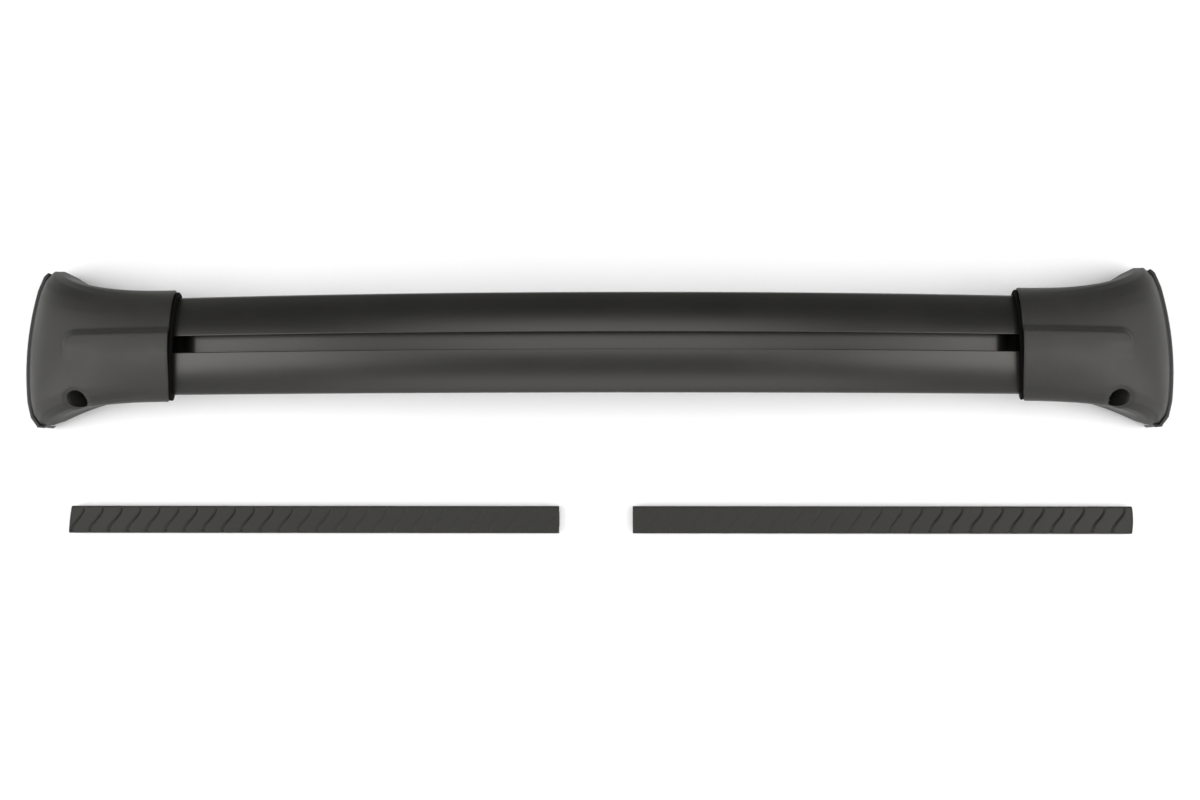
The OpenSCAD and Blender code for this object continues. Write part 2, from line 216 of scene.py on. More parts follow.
def fillet(corners):
    """A closed outline from (x, y, radius) corners, each rounded by that radius."""
    out = []
    n = len(corners)
    for i, (x, y, r) in enumerate(corners):
        if r <= 0:
            out.append((x, y))
            continue
        p = np.array([x, y])
        a = np.array(corners[i - 1][:2]) - p
        b = np.array(corners[(i + 1) % n][:2]) - p
        a = p + a / np.linalg.norm(a) * r
        b = p + b / np.linalg.norm(b) * r
        for t in np.linspace(0, 1, 5):
            q = (1 - t) ** 2 * a + 2 * t * (1 - t) * p + t * t * b
            out.append((q[0], q[1]))
    return out


# ---- bar ----

def crown_h(y):
    """Height of the crown above the section's middle at chord position y."""
    return math.sqrt(CROWN_R ** 2 - y * y) - (CROWN_R - BAR_CROWN)


def bar_outline():
    """The section's outside, from the slot's front lip round the belly and back into the slot."""
    lip = SLOT_MOUTH / 2
    half = SLOT_CHANNEL / 2
    lip_z = BAR_CROWN - SLOT_LIP
    floor_z = lip_z - SLOT_DEPTH
    a0 = math.asin(lip / CROWN_R) + 0.012
    skin = (
        arc(0, BAR_CROWN - CROWN_R, CROWN_R, a0, CROWN_A, 30)
        + arc(EDGE_Y, 0, EDGE_R, CROWN_A + 0.12, math.pi - BELLY_A - 0.12, 14)
        + arc(0, BELLY_R - BAR_BELLY, BELLY_R, math.pi - BELLY_A, math.pi + BELLY_A, 48)
        + arc(-EDGE_Y, 0, EDGE_R, math.pi + BELLY_A + 0.12, 2 * math.pi - CROWN_A - 0.12, 14)
        + arc(0, BAR_CROWN - CROWN_R, CROWN_R, -CROWN_A, -a0, 30)
    )
    w = WINDOW_W / 2
    slot = [
        (-lip, crown_h(lip), 0.7), (-lip, lip_z, 0.5), (-half, lip_z, 0.6),
        (-half, floor_z, 0.9), (-w, floor_z, 0), (w, floor_z, 0), (half, floor_z, 0.9),
        (half, lip_z, 0.6), (lip, lip_z, 0.5), (lip, crown_h(lip), 0.7),
    ]
    return skin + fillet([(*skin[-1], 0)] + slot + [(*skin[0], 0)])[1:-1]


def cavity(y0, y1):
    """A hollow of the section between two chord positions, following the skin at wall thickness."""
    r_top = CROWN_R - BAR_WALL
    r_low = BELLY_R - BAR_WALL
    ys = np.linspace(y0, y1, 20)
    top = [(y, math.sqrt(r_top ** 2 - y * y) - (CROWN_R - BAR_CROWN)) for y in ys]
    low = [(y, (BELLY_R - BAR_BELLY) - math.sqrt(r_low ** 2 - y * y)) for y in ys]
    return top + low[::-1]


def under_floor():
    """The hollow under the slot's floor, with the window's edges marked."""
    half = SLOT_CHANNEL / 2
    top = BAR_CROWN - SLOT_LIP - SLOT_DEPTH - SLOT_FLOOR_T
    w = WINDOW_W / 2
    r_low = BELLY_R - BAR_WALL
    low = [(y, (BELLY_R - BAR_BELLY) - math.sqrt(r_low ** 2 - y * y)) for y in np.linspace(half, -half, 12)]
    return [(-half, top), (-w, top), (w, top), (half, top)] + low


def window_dip(x):
    """How far the slot's floor curls down beside its two windows."""
    d = np.abs(np.abs(x) - WINDOW_X) - WINDOW_L / 2
    return 4.2 * np.clip(1 - d / 11.0, 0, 1) ** 2


def bar_mesh():
    """The bowed extrusion with its hollows, open at the two windows in the slot's floor."""
    xs = np.concatenate([
        np.linspace(-BAR_L / 2, -WINDOW_X - WINDOW_L / 2 - 12, 8),
        np.linspace(-WINDOW_X - WINDOW_L / 2 - 11, -WINDOW_X - WINDOW_L / 2, 10),
        np.linspace(-WINDOW_X + WINDOW_L / 2, -WINDOW_X + WINDOW_L / 2 + 11, 10),
        np.linspace(-WINDOW_X + WINDOW_L / 2 + 12, 0, 60),
    ])
    xs = np.concatenate([xs, -xs[-2::-1]])
    outlines = [bar_outline(), cavity(-EDGE_Y, -SLOT_CHANNEL / 2 - SLOT_WEB_T),
                under_floor(), cavity(SLOT_CHANNEL / 2 + SLOT_WEB_T, EDGE_Y)]
    points, faces, around = [], [], []
    floor_edges = {}
    start = 0
    for k, outline in enumerate(outlines):
        y = np.array([p[0] for p in outline])
        h = np.array([p[1] for p in outline])
        n = len(outline)
        w = WINDOW_W / 2
        on_floor = (np.abs(np.abs(y) - w) < 1e-6) & (h > -BAR_BELLY / 2)
        sag = np.where(on_floor, 1.0, 0.0) if k in (0, 2) else np.zeros(n)
        X, Y = np.meshgrid(xs, y, indexing="ij")
        H = h[None, :] - window_dip(xs)[:, None] * sag[None, :]
        points.append(on_bow(X, Y, H).reshape(-1, 3))
        step = np.hypot(np.diff(y, append=y[0]), np.diff(h, append=h[0]))
        around.append(np.tile(np.concatenate([[0], np.cumsum(step)[:-1]]), len(xs)))
        gap = [j for j in range(n) if on_floor[j] and on_floor[(j + 1) % n]] if k in (0, 2) else []
        for i in range(len(xs) - 1):
            mid = abs(xs[i] + xs[i + 1]) / 2
            for j in range(n):
                if j in gap and abs(mid - WINDOW_X) < WINDOW_L / 2:
                    gap_ends = (start + i * n + j, start + i * n + (j + 1) % n, n)
                    floor_edges.setdefault(i, []).append(gap_ends)
                    continue
                a, b = start + i * n + j, start + i * n + (j + 1) % n
                c, d = b + n, a + n
                faces.append((a, d, c, b) if k == 0 else (a, b, c, d))
        start += len(xs) * n
    for pair in floor_edges.values():
        (a0, a1, n0), (b0, b1, n1) = pair
        faces.append((a0, a1, b1, b0))
        faces.append((a0 + n0, a1 + n0, b1 + n1, b0 + n1))
        faces.append((a0, a0 + n0, b0 + n1, b0))
        faces.append((a1, a1 + n0, b1 + n1, b1))
    obj = to_mesh("bar_extrusion", np.concatenate(points), faces)
    attribute = obj.data.attributes.new("around", "FLOAT", "POINT")
    attribute.data.foreach_set("value", (np.concatenate(around) * MM).astype(np.float32))
    bm = bmesh.new()
    bm.from_mesh(obj.data)
    for s in (-1, 1):
        rim = [e for e in bm.edges if e.is_boundary
               and all(abs(v.co.x - s * BAR_L / 2 * MM) < 1e-6 for v in e.verts)]
        bmesh.ops.triangle_fill(bm, use_beauty=True, use_dissolve=False, edges=rim)
    bm.to_mesh(obj.data)
    bm.free()
    outward(obj)
    return sharp_by_angle(obj, 32)


# ---- foot cover ----

def rim_raw(t, inset, side):
    """The rim ring before its corners are eased; t in degrees, 90 is the outermost."""
    t = (np.asarray(t, float) + 90) % 360 - 90
    r = COVER_ARC_R - inset
    a = TIP_A * (90 - t) / (90 - CORNER)
    near = np.abs(t) < CORNER
    s = np.clip((np.where(near, t, 180 - t) + CORNER) / (2 * CORNER), 0, 1)
    tip_x = ARC_X + r * math.cos(TIP_A)
    y = INNER_Y + (TIP_Y - INNER_Y) * s ** FLANK_BEND - side
    k = np.where(t < 0, t + 90, t - 270) / (90 - CORNER)
    outer = np.abs(t - 90) <= 90 - CORNER
    flank = near | (np.abs(t - 180) < CORNER)
    x = np.where(outer, ARC_X + r * np.cos(a),
                 np.where(flank, INNER_X + inset + (tip_x - INNER_X - inset) * s, INNER_X + inset))
    y = np.where(outer, r * np.sin(a), np.where(flank, np.where(near, y, -y), (INNER_Y - side) * k))
    return np.stack(np.broadcast_arrays(x, y), -1)


def turned(p, a=FOOT_SKEW):
    """Plan points turned about the foot's own centre."""
    q = p - [SKEW_X, 0]
    c, s = math.cos(a), math.sin(a)
    return np.stack([SKEW_X + q[..., 0] * c - q[..., 1] * s, q[..., 0] * s + q[..., 1] * c], -1)


def rim(t, inset, side=None):
    """The rim ring with its corners eased, turned as the foot stands."""
    side = inset if side is None else side
    taps = ((-20, 1), (-10, 2), (0, 3), (10, 2), (20, 1))
    return turned(sum(w * rim_raw(t + step, inset, side) for step, w in taps) / 9)


def mouth_x(y, h):
    """Distance from the middle of the mouth's plane at section position (y, h)."""
    w = smooth(y, -16, 16)
    front = MOUTH_FRONT - LEAN_FRONT * h
    back = MOUTH_BACK - LEAN_BACK * h
    return front * (1 - w) + back * w


def mouth(t, inset, back=0.0):
    """A point of the mouth's oval; back moves it into the foot."""
    a = np.radians(t)
    g = SLEEVE_GAP - inset
    h = np.where(np.sin(a) > 0, BAR_CROWN + g, BAR_BELLY + g) * np.sin(a)
    y = (BAR_W / 2 + g + 0.9 * smooth(np.cos(a), 0, 1)) * np.cos(a)
    p = on_bow(mouth_x(y, h) + back, y, h)
    return p - [0, BAR_Y, 0]


def outer_share(t):
    """1 along the foot's outer edge, easing to 0 at its two tips."""
    return smooth(np.cos(np.radians(np.asarray(t, float) - 90)), 0.48, 0.92)


def skin(t, u, inset, shoulder=0.0):
    """The cover's surface: a Bezier from the mouth, along the bar, down to the rim or shoulder."""
    t, u = np.meshgrid(t, u)
    share = outer_share(t) * shoulder
    s = mouth(t, inset)
    e2 = rim(t, inset + share * SHOULDER_IN, inset + share * SHOULDER_IN)
    low = RIM_Z + shoulder * 1.4 + share * SHOULDER_H
    e = np.concatenate([e2, low[..., None]], -1)
    reach = 0.55 * (e[..., 0] - s[..., 0])
    drop = 0.6 * (s[..., 2] - RIM_Z) * (1 - 0.12 * share)
    out = e2 - [SKEW_X, 0]
    n = out / np.linalg.norm(out, axis=-1, keepdims=True)
    round_out = smooth(np.sin(np.radians(t)), 0, 1) * shoulder
    n = n * ((FLARE + SHOULDER_FLARE * round_out) * (1 + np.sin(np.radians(t))) / 2)[..., None]
    p1 = s + reach[..., None] * np.array([math.cos(MOUTH_A), 0, -math.sin(MOUTH_A)])
    p2 = e + drop[..., None] * np.stack([-n[..., 0], -n[..., 1], np.ones_like(drop)], -1)
    u = u[..., None]
    v = 1 - u
    return v ** 3 * s + 3 * v * v * u * p1 + 3 * v * u * u * p2 + u ** 3 * e


def bolt_dir():
    """Direction of the clamp bolt's line, from its seat outward."""
    return np.array([math.cos(BOLT_RISE) * math.cos(BOLT_TURN),
                     -math.cos(BOLT_RISE) * math.sin(BOLT_TURN), math.sin(BOLT_RISE)])


def raised_panel(p):
    """Height of the raised front panel at plan points: it ends at a crease and fades to the front."""
    x, y = p[..., 0], p[..., 1]
    dx = x - (CREASE_END - CREASE_CORNER)
    dy = y - (CREASE_Y - CREASE_CORNER)
    corner = np.hypot(np.maximum(dx, 0), np.maximum(dy, 0)) - CREASE_CORNER
    d = np.where((dx > 0) | (dy > 0), corner, np.maximum(dx, dy) - CREASE_CORNER)
    step = 1 - smooth(d, -2.2, 3.6)
    past_bar = smooth(x, CREASE_END - 40, CREASE_END)
    fade = 1 - smooth(CREASE_Y - y, 8, 27 - 4 * past_bar)
    fade = fade * past_bar + (1 - smooth(CREASE_Y - y, 14, 44)) * (1 - past_bar)
    return CREASE_H * step * fade


def dish(p):
    """Depth of the shallow dish round the tool guide at points of the skin."""
    q = p - BOLT_SEAT
    d = bolt_dir()
    along = q @ d
    r = np.linalg.norm(q - along[..., None] * d, axis=-1)
    return 0.7 * (1 - smooth(r, GUIDE_R + 0.2, GUIDE_R + 3.5)) * smooth(along, 8, 13)


def grid_normals(p):
    """Normals of a grid of points whose columns close on themselves, pointing out of the foot."""
    du = np.gradient(p, axis=0)
    dt = (np.roll(p, -1, 1) - np.roll(p, 1, 1)) / 2
    n = np.cross(dt, du)
    return n / np.maximum(np.linalg.norm(n, axis=-1, keepdims=True), 1e-9)


def ring_t(n):
    return np.arange(n) * 360.0 / n


def cover_shell(n_t=288, n_u=84):
    """The cover as one closed surface: skin, shoulder and ledge, rim, inner skin, mouth edge."""
    t = ring_t(n_t)
    outer = skin(t, np.linspace(0, 1, n_u), 0, 1.0)
    normal = grid_normals(outer)
    if (normal[n_u // 2, n_t // 4] @ [0, 0, 1]) < 0:
        normal = -normal
    lift = raised_panel(outer) * smooth(normal[..., 2], 0.2, 0.6)
    outer = outer + normal * (lift - dish(outer))[..., None]
    share = outer_share(t)
    top = outer[-1, :, 2]
    rows = []
    ledge = ((SHOULDER_IN - 0.1, 0.36), (SHOULDER_IN - 0.7, 0.45), (1.0, 0.56), (0.25, 0.66), (0, 0.76))
    for inset, fall in ledge:
        plan = rim(t, share * inset, share * inset)
        z = top - share * SHOULDER_H * fall - (1 - share) * 1.4 * fall
        rows.append(np.concatenate([plan, z[:, None]], -1))
    for inset, z in ((0, 0.35), (0.35, 0)):
        rows.append(np.concatenate([rim(t, inset), np.full((n_t, 1), RIM_Z + z)], -1))
    inner = skin(t, np.linspace(1, 0, n_u // 2), COVER_T)
    edge = []
    lip = ((COVER_T, 0.5), (COVER_T - 0.5, 0.1), (2.0, 0.0), (1.2, 0.02), (0.5, 0.28), (0.15, 0.7))
    for inset, back in lip:
        ring = mouth(t, inset, back)
        panel = raised_panel(ring)[:, None] * smooth(ring[:, 2], 52, 64)[:, None]
        edge.append(ring + np.array([0, 0, 1.0]) * panel)
    inner[-1] = mouth(t, COVER_T, 1.0)
    outer[0] = mouth(t, 0, 1.5) + (outer[0] - skin(t, np.array([0.0]), 0, 1.0)[0])
    grid = np.concatenate([outer, np.array(rows), inner, np.array(edge)])
    faces = grid_faces(len(grid), n_t, wrap_rows=True)
    obj = to_mesh("cover", (grid + [0, BAR_Y, 0]).reshape(-1, 3), faces)
    return outward(obj)


def cover_core(n_t=96, n_u=30):
    """A closed body just inside the skin, to trim bosses with."""
    t = ring_t(n_t)
    grid = skin(t, np.linspace(0, 1, n_u), COVER_T / 2)
    faces = grid_faces(n_u, n_t)
    faces.append(tuple(range(n_t)))
    faces.append(tuple(range((n_u - 1) * n_t, n_u * n_t)))
    return outward(to_mesh("core", (grid + [0, BAR_Y, 0]).reshape(-1, 3), faces))


def lathe(name, profile, origin, axis, n=64):
    """A closed solid of revolution: (radius, height) points turned about an axis, in millimetres."""
    axis = Vector(axis).normalized()
    turn = axis.to_track_quat("Z", "Y").to_matrix()
    points, faces = [], []
    a = np.linspace(0, 2 * math.pi, n, endpoint=False)
    for r, z in profile:
        for c, s in zip(np.cos(a), np.sin(a)):
            points.append(tuple(turn @ Vector((r * c, r * s, z)) + Vector(origin)))
    m = len(profile)
    faces = grid_faces(m, n)
    faces.append(tuple(reversed(range(n))))
    faces.append(tuple(range((m - 1) * n, m * n)))
    return outward(to_mesh(name, points, faces))


def foot_cover(side):
    """The cover with its tool guide and screw bosses; a point attribute marks the bore's wall near the
    guide's inner end, which the cover's material darkens as painted shade.
    """
    seat = BOLT_SEAT + [0, BAR_Y, 0]
    axis = bolt_dir()
    shell = cover_shell()
    tube_r = GUIDE_R + GUIDE_WALL
    bosses = lathe("guide", [(tube_r, GUIDE_FROM), (tube_r, GUIDE_TO)], seat, axis)
    for y in (-36, 36):
        boss = lathe("boss", [(5, 0), (5, 60)], (448, BAR_Y + y, RIM_Z + 6.2), (0, 0, 1), 40)
        cut(bosses, boss, "UNION")
    cut(bosses, cover_core(), "INTERSECT")
    cut(shell, bosses, "UNION")
    for y in (-36, 36):
        hole = lathe("hole", [(1.8, 0), (1.8, 13)], (448, BAR_Y + y, RIM_Z + 5), (0, 0, 1), 24)
        cut(shell, hole)
    cut(shell, lathe("bore", [(GUIDE_R, GUIDE_CUT_FROM), (GUIDE_R, GUIDE_TO)], seat, axis, 96))
    shell.name = f"{side}_cover_shell"
    if SIDES[side] < 0:
        shell.data.transform(((-1, 0, 0, 0), (0, 1, 0, 0), (0, 0, 1, 0), (0, 0, 0, 1)))
        outward(shell)
    sharp_by_angle(shell, 38)
    p = np.empty(len(shell.data.vertices) * 3, np.float32)
    shell.data.vertices.foreach_get("co", p)
    q = p.reshape(-1, 3) * [SIDES[side] / MM, 1 / MM, 1 / MM] - seat
    along = q @ axis
    r = np.linalg.norm(q - along[:, None] * axis, axis=1)
    # painted shade: 1 on the bore's wall near the guide's inner end, where the material turns its specular
    # level down so the hole looks dark
    painted_bore_shade = ((r < GUIDE_R + 0.2) & (along < GUIDE_FROM + 0.5)).astype(np.float32)
    shell.data.attributes.new("painted_bore_shade", "FLOAT", "POINT").data.foreach_set("value", painted_bore_shade)
    return shell


# ---- seals, lips, gaskets and pads ----

def mouth_seal(side):
    """The rubber sleeve round the bar: a rounded lip outside the cover, a thin tail inside it."""
    out_l = {"left": 3.2, "right": 2.6}[side]
    profile = [(5.8, 0.25), (5.8, 1.6), (-0.5, 1.6), (-0.6, 4.5), (-out_l + 0.8, 4.7), (-out_l + 0.3, 4.4),
               (-out_l, 3.8), (-out_l, 1.2), (-out_l + 0.3, 0.4), (-out_l + 1.0, 0.25)]
    rows = []
    for s, g in profile:
        ring = np.array(aero(g, 48))
        base = np.array(aero(0, 48))
        x = mouth_x(base[:, 0], base[:, 1]) + s
        rows.append(on_bow(x, ring[:, 0], ring[:, 1]))
    grid = np.array(rows)
    faces = grid_faces(len(rows), grid.shape[1], wrap_rows=True)
    obj = to_mesh(f"{side}_mouth_sleeve", grid.reshape(-1, 3), faces, side=SIDES[side])
    return sharp_by_angle(outward(obj), 50)


def outer_lip(side):
    """The trim along the foot's outer edge and round its tips: a rounded band that tapers off."""
    t = np.linspace(42.5, 147.5, 200)
    end = np.clip((53 - np.abs(t - 95)) / 3.0, 0, 1) ** 0.5
    profile = [(-0.4, 3.4), (-0.8, 3.0), (-3.0, 3.0), (-3.4, 3.4), (-3.4, 5.0), (-3.0, 5.5),
               (-3.0, 16.5), (-3.5, 17.2), (-3.5, 20.6), (-3.2, 21.1), (-2.6, 21.4), (-1.3, 21.4),
               (-0.7, 21.1), (-0.4, 20.4)]
    top = 19.0
    rows = []
    for inset, z in profile:
        height = np.full(len(t), z) if z < top else top + (z - top) * end
        rows.append(np.concatenate([rim(t, inset) + [0, BAR_Y], height[:, None]], -1))
    grid = np.array(rows).transpose(1, 0, 2)
    n = len(profile)
    faces = grid_faces(len(t), n)
    faces += [tuple(range(n)), tuple(reversed(range((len(t) - 1) * n, len(t) * n)))]
    obj = to_mesh(f"{side}_edge_trim", grid.reshape(-1, 3), faces, side=SIDES[side])
    return sharp_by_angle(outward(obj), 40)


def base_gasket(side):
    """The soft ring under the cover's rim, with rounded edges."""
    t = ring_t(220)
    profile = [(0.6, 0.5, 18.95), (0.3, 0.2, 18.6), (0.3, 0.2, 17.4), (0.5, 0.4, 16.8), (0.9, 0.8, 16.5),
               (2.5, 2.5, 16.5), (2.9, 2.9, 17.0), (3.0, 3.0, 18.4), (2.6, 2.6, 18.95)]
    rows = [np.concatenate([rim(t, i, s) + [0, BAR_Y], np.full((len(t), 1), z)], -1) for i, s, z in profile]
    faces = grid_faces(len(rows), len(t), wrap_rows=True)
    obj = to_mesh(f"{side}_rim_gasket", np.array(rows).reshape(-1, 3), faces, side=SIDES[side])
    return sharp_by_angle(outward(obj), 50)


def ribbed_block(name, low, high, down, rib, ribs):
    """A rubber block with rounded edges and ribs across one face, from its corners in metres."""
    low, high = np.array(low) / MM, np.array(high) / MM
    size = high - low
    n_u, n_v = 10, ribs * 8 + 1
    us = np.linspace(0, 1, n_u)
    vs = np.linspace(0, 1, n_v)
    U, V = np.meshgrid(us, vs, indexing="ij")
    wave = 0.5 - 0.5 * np.cos(2 * math.pi * ribs * V)
    margin = np.minimum(smooth(U, 0, 0.12), smooth(1 - U, 0, 0.12))
    depth = rib * wave * margin
    a, b, c = down
    face = np.zeros((n_u, n_v, 3))
    face[..., a] = low[a] + U * size[a]
    face[..., b] = low[b] + V * size[b]
    sign = 1 if c > 0 else -1
    c = abs(c) - 1
    face[..., c] = (high[c] - depth) if sign > 0 else (low[c] + depth)
    back = face.copy()
    back[..., c] = low[c] if sign > 0 else high[c]
    points = np.concatenate([face.reshape(-1, 3), back.reshape(-1, 3)])
    faces = grid_faces(n_u, n_v, wrap_cols=False)
    m = n_u * n_v
    faces += [tuple(m + i for i in reversed(f)) for f in grid_faces(n_u, n_v, wrap_cols=False)]
    ring = [(0, j) for j in range(n_v)] + [(i, n_v - 1) for i in range(1, n_u)]
    ring += [(n_u - 1, j) for j in range(n_v - 2, -1, -1)] + [(i, 0) for i in range(n_u - 2, 0, -1)]
    idx = [i * n_v + j for i, j in ring]
    for p, q in zip(idx, idx[1:] + idx[:1]):
        faces.append((p, q, q + m, p + m))
    obj = outward(to_mesh(name, points, faces))
    mod = obj.modifiers.new("round", "BEVEL")
    mod.width = 0.5 * MM
    mod.segments = 2
    mod.limit_method = "ANGLE"
    mod.angle_limit = math.radians(60)
    applied(obj)
    return sharp_by_angle(obj, 40)


# ---- clamp bolt ----

def clamp_bolt(side):
    """A socket cap screw: knurled head with a hexagon socket, and a threaded shank."""
    n = 96
    length, pitch, washer = 27.5, 1.25, 1.65
    head_r, head_h, hex_r, hex_d = 6.5, 8.0, 3.45, 4.0
    a = np.linspace(0, 2 * math.pi, n, endpoint=False)
    hexagon = hex_r / np.cos((a + math.pi / 6) % (math.pi / 3) - math.pi / 6) * math.cos(math.pi / 6)
    knurl = 0.16 * (0.5 + 0.5 * np.cos(36 * a))
    rows = []
    for z in np.arange(-length, washer - 0.5, pitch / 8):
        tip = np.clip((z + length) / 1.2, 0, 1)
        phase = (z / pitch - a / (2 * math.pi)) % 1
        depth = 0.62 * np.abs(2 * phase - 1) * (z < -3.0)
        rows.append(((4.0 - depth) * (0.80 + 0.20 * tip), z))
    top = washer + head_h
    rows += [(np.full(n, 4.0), washer), (np.full(n, head_r - 0.5), washer + 0.02),
             (np.full(n, head_r - 0.15), washer + 0.4), (head_r - knurl, washer + 0.9),
             (head_r - knurl, top - 1.2), (np.full(n, head_r - 0.2), top - 0.8),
             (np.full(n, head_r - 0.8), top - 0.1),
             (np.full(n, head_r - 1.2), top), (hexagon * 1.09, top), (hexagon, top - 0.4),
             (hexagon, top - hex_d), (np.full(n, 0.6), top - hex_d - 0.8)]
    turn = Vector(bolt_dir()).to_track_quat("Z", "Y").to_matrix()
    seat = Vector(BOLT_SEAT + [0, BAR_Y, 0])
    points = [tuple(turn @ Vector((r * math.cos(t), r * math.sin(t), z)) + seat)
              for ring, z in rows for r, t in zip(ring, a)]
    faces = grid_faces(len(rows), n)
    faces += [tuple(reversed(range(n))), tuple(range((len(rows) - 1) * n, len(rows) * n))]
    obj = to_mesh(f"{side}_socket_bolt", points, faces, side=SIDES[side])
    return sharp_by_angle(outward(obj), 35)


# ---- infill strips ----

def infill_strip(side):
    """A T-shaped rubber extrusion, its top moulded with a row of S-shaped waves."""
    low, high = (np.array(c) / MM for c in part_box(f"{side}_infill_strip"))
    out = SIDES[side]
    half = (high[1] - low[1]) / 2
    mid_y = (high[1] + low[1]) / 2
    length = high[0] - low[0]
    height = high[2]
    pitch = {"left": 16.3, "right": 16.95}[side]
    stem, cap_z, border, rise = 6.2, 4.0, 1.5, 10.5
    xs = np.linspace(0, length, 900)
    inner = np.linspace(-half + border + 0.25, half - border - 0.25, 36)
    v = np.concatenate([[-half + 0.35, -half + border - 0.25], inner,
                        [half - border + 0.25, half - 0.35]])
    X, V = np.meshgrid(xs, v, indexing="ij")
    s = np.clip((V + half - border) / (2 * (half - border)), 0, 1)
    wave = s * s * (3 - 2 * s)
    lean = rise * (1.35 * wave - 0.35 * s) - rise / 2
    along = X if out < 0 else length - X
    start = {"left": 7.5, "right": 12.0}[side]
    phase = (X - lean - (start if out < 0 else length - start)) / pitch % 1
    width = 0.55 + 0.75 * (1 - s)
    notch = np.exp(-((np.minimum(phase, 1 - phase) * pitch / width) ** 2))
    ramp = 0.42 * (1 - phase) * (1 - np.exp(-((phase * pitch / 0.9) ** 2)))
    strength = 0.35 + 0.65 * (1 - smooth(along, length * 0.30, length * 0.75))
    inside = smooth(half - np.abs(V), border - 0.1, border + 0.55)
    inside = inside * smooth(along, 0.2, 1.5) * smooth(length - along, 0.5, 3)
    relief = (0.95 * notch + 0.42 - ramp) * strength * inside
    Z = height - relief - 0.12 * (np.abs(V) > half - border)
    Z[:, 0] -= 0.25
    Z[:, -1] -= 0.25
    sides = [(half, height - 0.85), (half, cap_z + 0.3), (half - 0.3, cap_z), (stem + 0.5, cap_z),
             (stem, cap_z - 0.5), (stem, 1.8), (stem - 1.1, 1.2), (stem, 0.6), (stem - 0.6, 0.0)]
    sides = sides + [(-y, z) for y, z in reversed(sides)]
    n_x = len(xs)
    S = np.array(sides)
    YS = np.tile(S[:, 0], (n_x, 1))
    ZS = np.tile(S[:, 1], (n_x, 1))
    Y = np.concatenate([V, YS], 1)
    Z = np.concatenate([Z, ZS], 1)
    X = np.tile(xs[:, None], (1, Y.shape[1]))
    near = 1 - smooth(X if out < 0 else length - X, 0, 12)
    curve = {"left": 0.35 * (Y / half) ** 2 + 0.95 * (Y / half + 1),
             "right": 0.9 * (Y / half - 0.15) ** 2}[side]
    X = X + near * curve * (1 if out < 0 else -1)
    points = np.stack([X + low[0], Y + mid_y, Z], -1)
    n = Y.shape[1]
    faces = grid_faces(n_x, n)
    faces += [tuple(range(n)), tuple(reversed(range((n_x - 1) * n, n_x * n)))]
    obj = to_mesh(f"{side}_wave_strip", points.reshape(-1, 3), faces)
    return sharp_by_angle(outward(obj), 50)


# ---- materials ----

class Shader:
    """A short way to write node trees: each call adds one node and returns its first output."""

    def __init__(self, name):
        self.mat = bpy.data.materials.new(name)
        self.mat.use_nodes = True
        self.nodes = self.mat.node_tree.nodes
        self.links = self.mat.node_tree.links
        self.bsdf = self.nodes["Principled BSDF"]
        self.coord = self.nodes.new("ShaderNodeTexCoord").outputs["Object"]

    def put(self, socket, value):
        if isinstance(value, bpy.types.NodeSocket):
            self.links.new(value, socket)
        else:
            socket.default_value = value

    def add(self, kind, **inputs):
        node = self.nodes.new(kind)
        for key, value in inputs.items():
            self.put(node.inputs[key], value)
        return node

    def noise(self, scale, detail=3.0, rough=0.55, vector=None):
        node = self.add("ShaderNodeTexNoise", Scale=scale, Detail=detail, Roughness=rough)
        self.put(node.inputs["Vector"], vector or self.coord)
        return node.outputs["Fac"]

    def grain(self, scale, vector=None):
        node = self.add("ShaderNodeTexVoronoi", Scale=scale)
        self.put(node.inputs["Vector"], vector or self.coord)
        return node.outputs["Distance"]

    def stretch(self, scale, vector=None):
        node = self.add("ShaderNodeMapping", Scale=scale)
        self.put(node.inputs["Vector"], vector or self.coord)
        return node.outputs["Vector"]

    def remap(self, value, low, high, start=0.3, end=0.7):
        node = self.add("ShaderNodeMapRange", Value=value)
        for key, number in (("From Min", start), ("From Max", end), ("To Min", low), ("To Max", high)):
            node.inputs[key].default_value = number
        return node.outputs["Result"]

    def math(self, operation, a, b):
        node = self.nodes.new("ShaderNodeMath")
        node.operation = operation
        self.put(node.inputs[0], a)
        self.put(node.inputs[1], b)
        return node.outputs[0]

    def mix(self, factor, a, b):
        node = self.nodes.new("ShaderNodeMix")
        node.data_type = "RGBA"
        self.put(node.inputs["Factor"], factor)
        self.put(node.inputs[6], (*a, 1) if isinstance(a, tuple) else a)
        self.put(node.inputs[7], (*b, 1) if isinstance(b, tuple) else b)
        return node.outputs[2]

    def bump(self, height, strength, distance, normal=None):
        node = self.add("ShaderNodeBump", Height=height, Strength=strength, Distance=distance)
        if normal:
            self.links.new(normal, node.inputs["Normal"])
        return node.outputs["Normal"]

    def edges(self, low, high):
        """1 on worn outer edges, by the surface's own curvature."""
        geometry = self.nodes.new("ShaderNodeNewGeometry")
        return self.remap(geometry.outputs["Pointiness"], 0.0, 1.0, low, high)

    def done(self, color, roughness, normal, metallic=0.0, ior=1.5, tint=(1.0, 0.98, 0.93)):
        self.put(self.bsdf.inputs["Base Color"], color)
        self.put(self.bsdf.inputs["Roughness"], roughness)
        self.put(self.bsdf.inputs["Normal"], normal)
        self.bsdf.inputs["Metallic"].default_value = metallic
        self.bsdf.inputs["IOR"].default_value = ior
        self.bsdf.inputs["Specular Tint"].default_value = (*tint, 1)
        return self.mat


